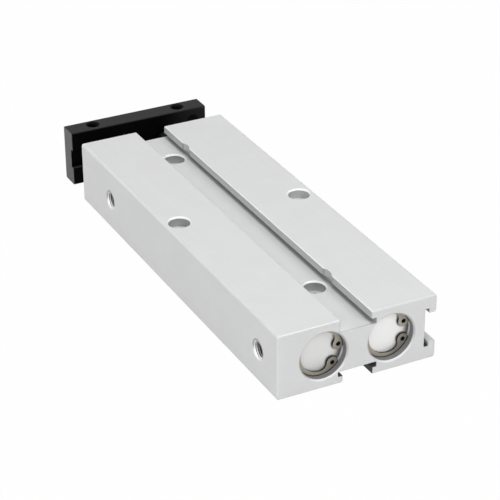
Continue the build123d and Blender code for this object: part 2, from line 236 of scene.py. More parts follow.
# The body is anodised aluminium. Levels multiply its colour, and a lift is added to a level; most of them are
# painted light and shade.
anodised = {
    "colour": 0.70,
    "warmth": -0.004,
    "metallic": 0.15,
    "specular": 0.25,
    "roughness": 0.58,
    "rimGloss": 0.12,
    "plain": 0.915,
    "mottle": {"scale": 95.0, "detail": 4.0, "tone": 0.06, "rough": 0.06},
    "grain": {"scale": 5200.0, "tone": 0.06, "rough": 0.05, "depth": 0.000012, "bump": 0.6},
    "drawnLines": {"scale": (18.0, 900.0, 900.0), "detail": 2.0, "tone": 0.05},
    "sawnEnds": {
        "facing": (0.92, 0.98),
        "level": 0.968,
        "marks": {"scale": (200.0, 500.0, 5200.0), "detail": 3.0, "tone": 0.10},
        "cornerWidth": 0.004,
        "cornerPaintedLight": 0.03,
    },
    "leftSide": {
        "skin": (0.0015, 0.001),
        "frontFrom": -0.03,
        "frontPaintedLight": 0.045,
        "lowEdge": (0.0004, 0.0016),
        "lowShade": 0.12,
    },
    "rims": {
        "level": 1.25,
        "holeReach": (0.0058, 0.0061),
        "portReach": (0.0054, 0.0057),
        "portUpper": (-0.003, 0.0005),
        "portUpperShade": 0.38,
    },
    "endEdges": {
        "width": (0.0014, 0.0016),
        "level": 0.84,
        "floor": 0.70,
        "floorHalf": (0.0084, 0.0087),
        "floorReach": 0.0008,
        "top": 0.94,
        "topLift": 0.12,
        "topLiftHalf": 0.01,
        "boreRim": 1.15,
        "boreRimRadius": 0.0113,
        "boreRimLow": (0.003, 0.0105),
        "boreRimLean": 0.2,
        "corner": (0.002, 0.001),
        "cornerPaintedLight": 0.24,
    },
    "bores": {
        "wall": 0.0107,
        "level": 0.29,
        "marks": {"scale": (160.0, 3400.0, 3400.0), "detail": 2.0, "tone": 0.18},
        "clipRadius": 0.0112,
        "clipFrom": 0.003,
        "clipTo": (0.00352, 0.00356),
        "clipGap": 0.03,
    },
    "screwHoles": {
        "wall": 0.0049,
        "level": 0.47,
        "depth": (0.001, 0.0042),
        "deepLift": 0.08,
        "middleHalf": (0.0098, 0.01),
        "middleLift": 0.14,
        "right": (0.02, 0.022),
        "rightLift": 0.16,
        "mottle": 0.1,
        "rings": 0.035,
        "ringScale": 9000.0,
    },
    "ports": {"wall": 0.0045, "lead": (0.0009, 0.0013), "mouth": 0.95, "deep": 0.10},
    "recess": {
        "floor": 0.0236,
        "floorReach": 0.0002,
        "half": 0.0083,
        "level": 0.985,
        "lift": 0.1,
        "liftAcross": (-0.003, 0.0084),
        "rearShade": 0.05,
        "rearLength": 0.02,
    },
    "lip": {
        "face": -0.006,
        "reach": 0.0003,
        "bottom": 0.0255,
        "bottomWidth": 0.0002,
        "facing": (0.8, 0.9),
        "level": 0.72,
        "topShade": 0.10,
        "under": 0.54,
        "underAcross": (0.001, 0.0012),
        "underDrop": 0.001,
        "underReach": 0.0014,
        "edge": -0.0063,
        "edgeFacing": (0.75, 0.3),
        "edgeLevel": 1.12,
        "notchWall": 0.007,
        "notchAcross": (-0.0055, -0.005),
        "notchShade": 0.3,
    },
    "topSkin": 0.0006,
    "slots": {"half": 0.0087, "mouth": 0.0065, "lip": 0.0033, "depth": 0.0052, "level": 0.10},
}


# The body's finish, with what several of its parts read
class BodyFinish(Finish):
    def __init__(self, name, **fixed):
        super().__init__(name, **fixed)
        mottle, rims = anodised["mottle"], anodised["rims"]
        lowUpper, highUpper = rims["portUpper"]
        self.mottle = self.noise(mottle["scale"], mottle["detail"])
        self.fromBore = awayFrom(self, boreCentres, 0)
        self.fromHole = awayFrom(self, centreHoles + sideHoles, 2)
        self.fromPort = awayFrom(self, portPlaces, 1)
        self.fromEnd = (bodyHigh[0] - bodyLow[0]) / 2 - abs(self.x - (bodyLow[0] + bodyHigh[0]) / 2)
        self.isEnd = abs(self.nx).fade(*anodised["sawnEnds"]["facing"])
        self.onTop = self.z.past(bodyHigh[2] - anodised["topSkin"])
        self.portUpper = self.z.fade(portHeight + lowUpper, portHeight + highUpper)
        # The rims of the screw holes and ports, which get a painted highlight as well as more gloss
        self.portRim = self.ny.slanted() * (1 - self.fromPort.fade(*rims["portReach"]))
        holeRim = self.nz.slanted() * (1 - self.fromHole.fade(*rims["holeReach"]))
        self.rimGlossAndPaintedHighlight = holeRim.most(self.portRim * (1 - self.portUpper))


# The ends show the marks of the saw; they are a little darker, and painted light brightens them next to the
# left side
def endLevel(f):
    s = anodised["sawnEnds"]
    marks = f.streaks(s["marks"]["scale"], s["marks"]["detail"]) * s["marks"]["tone"]
    corner = f.y.fade(bodyHigh[1] - s["cornerWidth"], bodyHigh[1]) * s["cornerPaintedLight"]
    return 1 + f.isEnd * (s["level"] - 1 + marks + corner)


# Painted light makes the left side lighter towards the plate, and painted shade darkens it along its bottom
# edge
def leftSideLevel(f):
    s = anodised["leftSide"]
    inner, outer = (bodyHigh[1] - depth for depth in s["skin"])
    onLeft = f.y.fade(inner, outer) * (1 - f.isEnd)
    front = f.x.fade(s["frontFrom"], bodyHigh[0]) * s["frontPaintedLight"]
    low = (1 - f.z.fade(*s["lowEdge"])) * s["lowShade"]
    return 1 + onLeft * (front - low)


# Painted highlights brighten the rims of the screw holes and the lower rims of the ports, and painted shade
# darkens the ports' upper rims
def rimLevel(f):
    s = anodised["rims"]
    upper = 1 - f.portRim * f.portUpper * s["portUpperShade"]
    return upper * (1 + f.rimGlossAndPaintedHighlight * (s["level"] - 1))


# Painted shade darkens the bevelled edges of the two ends, most at the recess floor and least along the top,
# and painted highlights brighten the top edges towards the left, the bores' lower rims and the edges at the
# left side
def edgeLevel(f):
    s = anodised["endEdges"]
    plain = s["level"]
    floor = (1 - abs(f.y).fade(*s["floorHalf"])) * f.z.near(anodised["recess"]["floor"], s["floorReach"])
    top = s["top"] + f.y.fade(-s["topLiftHalf"], s["topLiftHalf"]) * s["topLift"]
    across, upward = fromOwnBore(f)
    lowSide = (0 - upward - across * s["boreRimLean"]).fade(*s["boreRimLow"])
    boreRim = lowSide * f.fromBore.before(s["boreRimRadius"])
    inner, outer = (bodyHigh[1] - depth for depth in s["corner"])
    corner = f.ny.slanted() * f.y.fade(inner, outer)
    level = plain + floor * (s["floor"] - plain) + f.onTop * (top - plain)
    level = level + boreRim * (s["boreRim"] - plain) + corner * s["cornerPaintedLight"]
    return 1 - f.nx.slanted() * (1 - f.fromEnd.fade(*s["width"])) * (1 - level)


# Painted shade darkens the bores' walls, which show machining marks, and darkens the gap behind the clips
# most
def boreLevel(f):
    s = anodised["bores"]
    marks = f.streaks(s["marks"]["scale"], s["marks"]["detail"]) * s["marks"]["tone"]
    onWall = f.fromBore.before(s["wall"]) * f.nx.sideways()
    inGap = f.fromBore.before(s["clipRadius"]) * (1 - onWall) * (1 - f.rimGlossAndPaintedHighlight)
    inGap = inGap * f.fromEnd.past(s["clipFrom"]) * (1 - f.fromEnd.fade(*s["clipTo"]))
    return (1 - onWall * (1 - s["level"] - marks)) * (1 - inGap * (1 - s["clipGap"]))


# Painted shade darkens the screw holes' walls, painted light makes them lighter downwards, more in the middle
# holes, and lighter in the right holes; the walls also show fine rings
def screwHoleLevel(f):
    s = anodised["screwHoles"]
    onWall = f.fromHole.before(s["wall"]) * f.nz.sideways()
    inMiddle = 1 - abs(f.y).fade(*s["middleHalf"])
    depth = bodyHigh[2] - inMiddle * (bodyHigh[2] - anodised["recess"]["floor"]) - f.z
    lift = depth.fade(*s["depth"]) * (s["deepLift"] + inMiddle * s["middleLift"])
    lift = lift + (0 - f.y).fade(*s["right"]) * s["rightLift"]
    rings = (f.z * s["ringScale"]).sine() * s["rings"]
    return 1 - onWall * (1 - s["level"] - lift - f.mottle * s["mottle"] - rings)


# Painted shade darkens the ports' walls a little at their mouths, more in their upper halves and deeply
# behind the first threads
def portLevel(f):
    s = anodised["ports"]
    onWall = f.fromPort.before(s["wall"]) * f.ny.sideways()
    inward = (bodyHigh[1] - f.y).fade(*s["lead"])
    mouth = s["mouth"] * (1 - f.portUpper * anodised["rims"]["portUpperShade"])
    return 1 - onWall * (1 - mouth + inward * (mouth - s["deep"]))


# Painted shade darkens the recess under its lip and its floor towards the rear end, and painted light makes
# the floor lighter to the left
def recessLevel(f):
    s = anodised["recess"]
    lip = anodised["lip"]
    startUnder, endUnder = lip["underAcross"]
    underLip = 1 - f.y.fade(lip["face"] - startUnder, lip["face"] + endUnder)
    underLip = underLip * f.y.past(-s["half"]) * f.z.near(lip["bottom"] - lip["underDrop"], lip["underReach"])
    onFloor = f.z.near(s["floor"], s["floorReach"]) * abs(f.y).before(s["half"]) * (1 - underLip)
    lift = f.y.fade(*s["liftAcross"]) * s["lift"]
    rear = f.x.fade(bodyLow[0] + s["rearLength"], bodyLow[0]) * s["rearShade"]
    return (1 - underLip * (1 - lip["under"])) * (1 + onFloor * (s["level"] - 1 + lift - rear))


# Painted shade darkens the lip's face, more towards its top, a painted highlight brightens its upper edge,
# and painted shade darkens the notches for the heads of the screws
def lipLevel(f):
    s = anodised["lip"]
    onFace = f.y.near(s["face"], s["reach"]) * abs(f.ny).fade(*s["facing"])
    onFace = onFace * f.z.fade(s["bottom"] - s["bottomWidth"], s["bottom"])
    top = f.z.fade(s["bottom"], bodyHigh[2]) * s["topShade"]
    onEdge = f.y.near(s["edge"], s["reach"]) * f.onTop * abs(f.nz).near(*s["edgeFacing"])
    inNotch = awayFrom(f, centreHoles, 2).near(s["notchWall"], s["reach"]) * f.nz.sideways()
    inNotch = inNotch * (1 - f.y.fade(*s["notchAcross"]))
    level = (1 - onFace * (1 - s["level"] + top)) * (1 + onEdge * (s["edgeLevel"] - 1))
    return level * (1 - inNotch * s["notchShade"])


# Painted shade darkens the rooms of the T slots
def slotLevel(f):
    s = anodised["slots"]
    lowRoom = abs(f.y).before(s["half"]) * f.z.before(s["depth"]) * f.z.past(0.0)
    offMiddle = abs(f.z - boreCentres[0][2])
    inward = f.y - bodyLow[1]
    sideRoom = offMiddle.past(s["mouth"]) * offMiddle.before(s["half"])
    sideRoom = sideRoom * inward.past(s["lip"]) * inward.before(s["depth"])
    return 1 - lowRoom.most(sideRoom) * (1 - f.isEnd) * (1 - s["level"])


bodyLevels = [
    endLevel,
    leftSideLevel,
    rimLevel,
    edgeLevel,
    boreLevel,
    screwHoleLevel,
    portLevel,
    recessLevel,
    lipLevel,
    slotLevel,
]


def anodisedFinish():
    s = anodised
    mottle, grain, lines = s["mottle"], s["grain"], s["drawnLines"]
    f = BodyFinish("anodisedBody", Metallic=s["metallic"], Specular_IOR_Level=s["specular"])
    fine = f.noise(grain["scale"])
    drawn = f.streaks(lines["scale"], lines["detail"])
    level = s["plain"] + f.mottle * mottle["tone"] + drawn * lines["tone"] + fine * grain["tone"]
    for partLevel in bodyLevels:
        level = level * partLevel(f)
    tone = f.scaled(grey(s["colour"], s["warmth"]), level)
    rough = s["roughness"] + f.mottle * mottle["rough"] + fine * grain["rough"] - f.rimGlossAndPaintedHighlight * s["rimGloss"]
    return f.set(Base_Color=tone, Roughness=rough, Normal=f.bump(fine, grain["depth"], grain["bump"]))


# The turned covers and pistons. Painted shade darkens them towards their rims at the lower right, towards the
# bottom, and around and inside the clips' pliers holes; those on the right are lighter.
turned = {
    "colour": 0.76,
    "warmth": 0.006,
    "rightLift": 0.15,
    "metallic": 0.45,
    "roughness": 0.3,
    "cloud": {"scale": 140.0, "tone": 0.03, "rough": 0.05},
    "rings": {"scale": 9000.0, "depth": 0.000004, "bump": 0.4},
    "rim": {"radii": (0.0074, 0.0102), "lean": (0.9, 0.4), "across": (0.002, 0.008), "shade": 0.72},
    "low": {"depth": (0.001, 0.01), "shade": 0.05, "leftShade": 0.1},
    "lugs": {
        "clipTurns": (198.0, 181.5),
        "angle": 29.0,
        "reach": 0.0085,
        "rim": (0.0024, 0.0032),
        "rimShade": 0.8,
        "hole": (0.0009408, 0.0010192),
        "holeShade": 0.95,
    },
}


# The middles of the pliers holes at one end, where painted shade darkens the covers' faces
def lugPlaces(end):
    s = turned["lugs"]
    places = []
    for centre, turn in zip(boreCentres, s["clipTurns"]):
        for lug in (s["angle"], -s["angle"]):
            angle = math.radians(end * turn + lug)
            places.append(centre + s["reach"] * Vector((0.0, math.cos(angle), math.sin(angle))))
    return places


def turnedFinish():
    s = turned
    rings, rim, low, lugs = s["rings"], s["rim"], s["low"], s["lugs"]
    f = Finish("turnedAluminium", Metallic=s["metallic"])
    cloud = f.noise(s["cloud"]["scale"])
    fromAxis = awayFrom(f, boreCentres, 0)
    turning = (fromAxis * rings["scale"]).sine()
    across, upward = fromOwnBore(f)
    isLeft = f.y.fade(*halfway)
    level = s["colour"] + (1 - isLeft) * s["rightLift"] - cloud * s["cloud"]["tone"]
    shaded = (0 - across * rim["lean"][0] - upward * rim["lean"][1]).fade(*rim["across"])
    level = level * (1 - shaded * fromAxis.fade(*rim["radii"]) * rim["shade"])
    level = level * (1 - (0 - upward).fade(*low["depth"]) * (low["shade"] + isLeft * low["leftShade"]))
    atFront = f.x.fade(*halfway)
    fromRearLug, fromFrontLug = (awayFrom(f, lugPlaces(end), 0) for end in (1, -1))
    fromLug = (1 - atFront) * fromRearLug + atFront * fromFrontLug
    level = level * (1 - (1 - fromLug.fade(*lugs["rim"])) * lugs["rimShade"])
    level = level * (1 - (1 - fromLug.fade(*lugs["hole"])) * lugs["holeShade"])
    tone = f.scaled(grey(1.0, s["warmth"]), level)
    rough = s["roughness"] + cloud * s["cloud"]["rough"]
    return f.set(Base_Color=tone, Roughness=rough, Normal=f.bump(turning, rings["depth"], rings["bump"]))


# The black plate. Painted light makes its ends lighter than its top and lays a faint light across its nearly
# black back, and painted shade darkens its holes; its ends show saw marks.
blackPlate = {
    "top": 0.037,
    "ends": 0.165,
    "endFacing": (0.7, 0.95),
    "back": 0.0005,
    "backFacing": (-0.6, -0.9),
    "backGlow": 0.0145,
    "backGlowAcross": (-0.01, -0.034),
    "tint": (1.0, 1.0, 1.01),
    "specular": 0.04,
    "roughness": 0.5,
    "plain": 0.85,
    "cloud": {"scale": 120.0, "detail": 4.0, "tone": 0.2, "rough": 0.1},
    "grain": {"scale": 3800.0, "tone": 0.1, "rough": 0.08, "depth": 0.000015, "bump": 0.7},
    "sawMarks": {"scale": (4200.0, 900.0, 160.0), "detail": 3.0, "tone": 0.5},
    "topHoleRim": 0.0032,
    "faceHoleRim": 0.0028,
    "holeShade": 0.9,
}


def plateFinish():
    s = blackPlate
    cloud, grain, marks = s["cloud"], s["grain"], s["sawMarks"]
    f = Finish("blackPlate", Metallic=0.0, Specular_IOR_Level=s["specular"])
    patches = f.noise(cloud["scale"], cloud["detail"])
    fine = f.noise(grain["scale"])
    sawn = (f.streaks(marks["scale"], marks["detail"]) - 0.5) * marks["tone"]
    onEnd = abs(f.ny).fade(*s["endFacing"])
    back = s["back"] + f.y.fade(*s["backGlowAcross"]) * s["backGlow"]
    level = s["top"] + (s["ends"] - s["top"]) * onEnd + (back - s["top"]) * f.nx.fade(*s["backFacing"])
    level = level * (s["plain"] + patches * cloud["tone"] + fine * grain["tone"] + onEnd * sawn)
    inHole = awayFrom(f, topHoles, 2).before(s["topHoleRim"])
    inHole = inHole.most(awayFrom(f, faceHoles, 0).before(s["faceHoleRim"]))
    tone = f.scaled(s["tint"], level * (1 - inHole * s["holeShade"]))
    rough = s["roughness"] + patches * cloud["rough"] + fine * grain["rough"]
    return f.set(Base_Color=tone, Roughness=rough, Normal=f.bump(fine, grain["depth"], grain["bump"]))


# The clips' spring steel, with dark edges, painted shade where the clips sit in their grooves, and painted
# shade at the lower right of each bore
springSteel = {
    "colour": 0.40,
    "tint": (1.09, 1.0, 0.85),
    "dull": 0.3,
    "deep": 0.04,
    "dark": 0.015,
    "metallic": 0.4,
    "roughness": 0.35,
    "cloud": {"scale": 420.0, "detail": 3.0, "tone": 0.5, "rough": 0.15},
    "grain": {"scale": 6000.0, "depth": 0.000006, "bump": 0.5},
    "facing": (0.5, 0.9),
    "outerRadius": 0.0102,
    "shade": 0.42,
    "shadeAcross": (-0.001, 0.007),
    "shadeDown": (-0.004, 0.002),
}


def springFinish():
    s = springSteel
    cloud, grain = s["cloud"], s["grain"]
    f = Finish("springSteel", Metallic=s["metallic"])
    patches = f.noise(cloud["scale"], cloud["detail"])
    fine = f.noise(grain["scale"])
    onEdge = (1 - abs(f.nx).fade(*s["facing"])).most(awayFrom(f, boreCentres, 0).past(s["outerRadius"]))
    across, upward = fromOwnBore(f)
    shaded = (0 - across).fade(*s["shadeAcross"]) * (0 - upward).fade(*s["shadeDown"]) * s["shade"]
    bare, dull, deep, dark = (
        [level * part for part in s["tint"]] + [1.0]
        for level in (s["colour"], s["dull"], s["deep"], s["dark"])
    )
    tone = f.blend(patches * cloud["tone"], bare, dull)
    tone = f.blend(shaded, tone, deep)
    tone = f.blend(onEdge, tone, dark)
    rough = s["roughness"] + patches * cloud["rough"]
    return f.set(Base_Color=tone, Roughness=rough, Normal=f.bump(fine, grain["depth"], grain["bump"]))


# The rods are ground and chromed, and a painted reflection of the black plate darkens them next to it
chromedRod = {
    "bright": 0.46,
    "dull": 0.42,
    "dullWarmth": -0.01,
    "dullShare": 0.4,
    "paintedPlateReflection": 0.05,
    "pastBody": 0.001,
    "beforePlate": 0.006,
    "metallic": 0.6,
    "roughness": 0.28,
    "cloudScale": 90.0,
    "marks": {"scale": (9000.0, 160.0, 160.0), "detail": 2.0, "rough": 0.06, "depth": 0.000001, "bump": 0.3},
}


def chromeFinish():
    s = chromedRod
    marks = s["marks"]
    f = Finish("chromedRod", Metallic=s["metallic"])
    ground = f.streaks(marks["scale"], marks["detail"])
    patches = f.noise(s["cloudScale"]) * s["dullShare"]
    tone = f.blend(patches, grey(s["bright"]), grey(s["dull"], s["dullWarmth"]))
    # Painted reflection of the black plate, darkening the rod next to it
    paintedPlateReflection = f.x.fade(bodyHigh[0] + s["pastBody"], plateLow[0] - s["beforePlate"])
    tone = f.blend(paintedPlateReflection, tone, grey(s["paintedPlateReflection"]))
    rough = s["roughness"] + ground * marks["rough"]
    return f.set(Base_Color=tone, Roughness=rough, Normal=f.bump(ground, marks["depth"], marks["bump"]))


# Finishes of one kind: a pattern mixes two tones, and it or a finer grain gives the bump
patternedFinishes = {
    "screw_steel": {
        "name": "blackScrew",
        "metallic": 0.6,
        "pattern": {"scale": 700.0, "detail": 3.0},
        "grainScale": 8000.0,
        "share": 0.6,
        "tones": (grey(0.035), grey(0.075, 0.02)),
        "roughness": (0.34, 0.14),
        "bump": (0.000006, 0.6),
    },
    "bronze_bush": {
        "name": "bronzeBush",
        "metallic": 0.85,
        "pattern": {"scale": 5200.0, "detail": 3.0},
        "turn": (0.35, 0.6),
        "tones": ((0.36, 0.22, 0.10, 1.0), (0.66, 0.43, 0.22, 1.0)),
        "roughness": (0.38, 0.2),
        "bump": (0.00002, 0.6),
    },
    "seal_rubber": {
        "name": "sealRubber",
        "specular": 0.4,
        "pattern": {"scale": 380.0, "detail": 3.0},
        "grainScale": 5600.0,
        "share": 0.7,
        "tones": (grey(0.016), grey(0.0304, 0.01)),
        "roughness": (0.42, 0.12),
        "bump": (0.00001, 0.6),
    },
    "bumper_rubber": {
        "name": "bumperRubber",
        "specular": 0.4,
        "pattern": {"scale": 380.0, "detail": 3.0},
        "grainScale": 5600.0,
        "share": 0.7,
        "tones": (grey(0.045), grey(0.0855, 0.01)),
        "roughness": (0.6, 0.12),
        "bump": (0.00001, 0.6),
    },
    "magnet": {
        "name": "magnetFerrite",
        "pattern": {"scale": 3400.0, "detail": 4.0, "rough": 0.7},
        "turn": (0.4, 0.7),
        "tones": (grey(0.06, 0.02), grey(0.14, 0.03)),
        "roughness": (0.42, 0.2),
        "bump": (0.000015, 0.5),
    },
    "wear_plastic": {
        "name": "wearPlastic",
        "specular": 0.45,
        "streaks": {"scale": (900.0, 3200.0, 3200.0), "detail": 3.0},
        "share": 1.0,
        "tones": ((0.10, 0.17, 0.14, 1.0), (0.22, 0.32, 0.27, 1.0)),
        "roughness": (0.4, 0.2),
        "bump": (0.00001, 0.5),
    },
}


def patternedFinish(s):
    f = Finish(s["name"], Metallic=s.get("metallic", 0.0), Specular_IOR_Level=s.get("specular", 0.5))
    pattern = f.streaks(**s["streaks"]) if "streaks" in s else f.noise(**s["pattern"])
    grain = f.noise(s["grainScale"]) if "grainScale" in s else pattern
    share = pattern.fade(*s["turn"]) if "turn" in s else pattern * s["share"]
    plain, change = s["roughness"]
    depth, strength = s["bump"]
    tone = f.blend(share, *s["tones"])
    return f.set(Base_Color=tone, Roughness=plain + pattern * change, Normal=f.bump(grain, depth, strength))


finishes = {
    "anodised_body": anodisedFinish(),
    "turned_aluminium": turnedFinish(),
    "black_plate": plateFinish(),
    "spring_steel": springFinish(),
    "chromed_rod": chromeFinish(),
}
for slotName, settings in patternedFinishes.items():
    finishes[slotName] = patternedFinish(settings)

for part in frame["record"]["subparts"]:
    mesh = frame["nodes"][part["node"]].data
    mesh.materials.clear()
    mesh.materials.append(finishes[part["material_slot"]])
print("finishes on the nodes:", len(finishes))


def applyModifiers(piece):
    bpy.context.view_layer.objects.active = piece
    for modifier in list(piece.modifiers):
        bpy.ops.object.modifier_apply(modifier=modifier.name)


def settle(piece, finish):
    bpy.ops.object.select_all(action="DESELECT")
    piece.select_set(True)
    bpy.context.view_layer.objects.active = piece
    bpy.ops.object.transform_apply(location=True, rotation=True, scale=True)
    bpy.ops.object.mode_set(mode="EDIT")
    bpy.ops.mesh.select_all(action="SELECT")
    bpy.ops.mesh.normals_make_consistent(inside=False)
    bpy.ops.object.mode_set(mode="OBJECT")
    piece.data.materials.clear()
    piece.data.materials.append(finish)
    piece.select_set(False)


# Tapped threads: one ridge of three edges winds down each hole, a little into its wall
tappedHoles = {
    "steps": 56,
    "sink": 0.00006,
    "runOut": 0.00008,
    "tolerance": 1e-6,
    "width": 0.8,    # the share of the pitch that a ridge fills
    "kinds": {
        "port": {
            "wall": 0.0043,
            "pitch": 0.000907,
            "ridge": 0.00066,
            "start": -0.0006,
            "turns": 7,
            "body": "barrel",
        },
        "plateTop": {
            "wall": 0.0025,
            "pitch": 0.001,
            "ridge": 0.00036,
            "start": 0.0007,
            "turns": 9,
            "body": "rod_assembly",
        },
        "plateFace": {
            "wall": 0.0021,
            "pitch": 0.0008,
            "ridge": 0.0003,
            "start": 0.0007,
            "turns": 8,
            "body": "rod_assembly",
        },
    },
}

# The threads' looks, with the places of painted shade and painted glow as shares of the depth
threadLooks = {
    "cloudScale": 700.0,
    "chatter": {"scale": 2600.0, "detail": 3.0},
    "chatterDepth": 0.000008,
    "bump": 0.6,
    "dull": 0.7,
    "dullWarmth": 0.01,
    "dullShare": 0.6,
    "deep": 0.12,
    "shade": (0.45, 1.0),
    "roughChange": 0.15,
    "bright": {
        "level": 0.9,
        "metallic": 0.3,
        "roughness": 0.35,
        "specular": 0.5,
        "depth": 0.0032,
        "glow": 0.27,
        "glowFrom": (0.08, 0.16),
        "glowTo": (0.3, 0.55),
        "upper": (-0.003, 0.0005),
        "upperShade": 0.5,
    },
    "black": {"level": 0.003, "metallic": 0.0, "roughness": 0.7, "specular": 0.03, "depth": 0.004},
}


# Painted shade darkens a thread along one axis; a bright one also has painted shade on its upper half and a
# painted glow, an emission, a little behind its mouth
def threadFinish(name, kind, axis, mouth):
    s = threadLooks
    look = s[kind]
    level, depth = look["level"], look["depth"]
    f = Finish(name, Metallic=look["metallic"], Specular_IOR_Level=look["specular"])
    cloud = f.noise(s["cloudScale"])
    chatter = f.noise(**s["chatter"])
    inward = mouth - (f.x, f.y, f.z)[axis]
    dull = grey(level * s["dull"], s["dullWarmth"])
    deep = grey(level * s["deep"])
    tone = f.blend(cloud * s["dullShare"], grey(level), dull)
    tone = f.blend(inward.fade(depth * s["shade"][0], depth * s["shade"][1]), tone, deep)
    if "glow" in look:
        startUpper, endUpper = look["upper"]
        upper = f.z.fade(portHeight + startUpper, portHeight + endUpper)
        tone = f.blend(upper * look["upperShade"], tone, deep)
        rising, falling = (
            inward.fade(depth * start, depth * end) for start, end in (look["glowFrom"], look["glowTo"])
        )
        shine = f.blend(rising * (1 - falling), grey(0.0), grey(look["glow"]))
        f.set(Emission_Color=shine, Emission_Strength=1.0)
    rough = look["roughness"] + cloud * s["roughChange"]
    return f.set(Base_Color=tone, Roughness=rough, Normal=f.bump(chatter, s["chatterDepth"], s["bump"]))


# A triangle that stands in the XZ plane at the wall, with its point towards the hole's axis
def makeRidge(name, s):
    sideLength = s["ridge"] * 2 / math.sqrt(3)
    radius = s["ridge"] / 1.5    # an even triangle is 1.5 times as high as its radius
    spread = s["pitch"] * tappedHoles["width"] / sideLength
    bpy.ops.mesh.primitive_circle_add(vertices=3, radius=radius, fill_type="NOTHING")
    ridge = bpy.context.object
    ridge.name = name
    bpy.ops.object.mode_set(mode="EDIT")
    bpy.ops.mesh.select_all(action="SELECT")
    bpy.ops.transform.rotate(value=math.pi / 2, orient_axis="Z", center_override=(0, 0, 0))
    bpy.ops.transform.rotate(value=math.pi / 2, orient_axis="X", center_override=(0, 0, 0))
    bpy.ops.transform.resize(value=(1.0, 1.0, spread), center_override=(0, 0, 0))
    bpy.ops.object.mode_set(mode="OBJECT")
    inward = min(v.co.x for v in ridge.data.vertices)
    outward = max(v.co.x for v in ridge.data.vertices)
    if abs(inward) < abs(outward):    # the point looks away from the axis
        bpy.ops.object.mode_set(mode="EDIT")
        bpy.ops.transform.rotate(value=math.pi, orient_axis="Z", center_override=(0, 0, 0))
        bpy.ops.object.mode_set(mode="OBJECT")
    outward = max(v.co.x for v in ridge.data.vertices)
    toWall = s["wall"] + tappedHoles["sink"] - outward
    bpy.ops.object.mode_set(mode="EDIT")
    bpy.ops.transform.translate(value=(toWall, 0.0, -s["start"] - s["pitch"] / 2))
    bpy.ops.object.mode_set(mode="OBJECT")
    return ridge


def makeThread(name, mouth, turn, kind, finish):
    s = tappedHoles["kinds"][kind]
    ridge = makeRidge(name, s)
    screw = ridge.modifiers.new("thread", "SCREW")
    screw.axis = "Z"
    screw.screw_offset = -s["pitch"] * s["turns"]
    screw.angle = -2 * math.pi * s["turns"]
    screw.iterations = 1
    screw.steps = tappedHoles["steps"] * s["turns"]
    screw.render_steps = screw.steps
    screw.use_smooth_shade = False
    applyModifiers(ridge)
    bpy.ops.object.mode_set(mode="EDIT")
    bpy.ops.mesh.select_all(action="SELECT")
    bpy.ops.mesh.fill_holes(sides=3)
    bpy.ops.mesh.select_all(action="SELECT")
    cutAt = (0, 0, -tappedHoles["runOut"])
    bpy.ops.mesh.bisect(
        plane_co=cutAt, plane_no=(0, 0, 1), threshold=tappedHoles["tolerance"],
        use_fill=True, clear_outer=True)
    bpy.ops.object.mode_set(mode="OBJECT")
    ridge.location = mouth
    ridge.rotation_euler = turn
    settle(ridge, finish)
    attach(ridge, s["body"])


def makeThreads():
    bright = threadFinish("tappedAluminium", "bright", 1, bodyHigh[1])
    black = threadFinish("tappedBlack", "black", 2, plateHigh[2])
    blackFace = threadFinish("tappedBlackFace", "black", 0, plateHigh[0])
    for place, side in zip(portPlaces, ("rear", "front")):
        mouth = (place[0], bodyHigh[1], place[2])
        makeThread(side + "PortThread", mouth, (-math.pi / 2, 0.0, 0.0), "port", bright)
    for number, place in enumerate(topHoles):
        mouth = (place[0], place[1], plateHigh[2])
        makeThread("plateTopThread%d" % number, mouth, (0.0, 0.0, 0.0), "plateTop", black)
    for number, place in enumerate(faceHoles):
        mouth = (plateHigh[0], place[1], place[2])
        turn = (0.0, math.pi / 2, 0.0)
        makeThread("plateFaceThread%d" % number, mouth, turn, "plateFace", blackFace)


makeThreads()
print("threads made")

# Countersunk screws in the plate's front, with a softened rim and a hexagon socket
plateScrew = {
    "vertices": 72,
    "rings": [    # depths behind the plate's front, and radii
        (0.0, 0.00572),
        (0.00009, 0.00592),
        (0.0003, 0.00598),
        (0.00328, 0.003),
        (0.0167, 0.003),
        (0.01745, 0.00232),
    ],
    "socketWidth": 0.004,
    "socketDepth": 0.0024,
    "leadIn": 0.00016,
    "leadInVertices": 48,
}


def makeScrewBlank(centre, front):
    s = plateScrew
    bpy.ops.mesh.primitive_circle_add(vertices=s["vertices"], radius=s["rings"][0][1], fill_type="NGON")
    blank = bpy.context.object
    bpy.ops.object.mode_set(mode="EDIT")
    bpy.ops.mesh.select_all(action="SELECT")
    for (depth, radius), (nextDepth, nextRadius) in zip(s["rings"], s["rings"][1:]):
        bpy.ops.mesh.extrude_region_move(TRANSFORM_OT_translate={"value": (0.0, 0.0, depth - nextDepth)})
        scale = nextRadius / radius
        bpy.ops.transform.resize(value=(scale, scale, 1.0), center_override=(0, 0, -nextDepth))
    bpy.ops.object.mode_set(mode="OBJECT")
    faceForward(blank, centre, front)
    return blank


# Turn a piece's axis from Z to X and bring it to the plate's front
def faceForward(piece, centre, front):
    piece.rotation_euler = (0.0, math.pi / 2, 0.0)
    piece.location = (front, centre[1], centre[2])


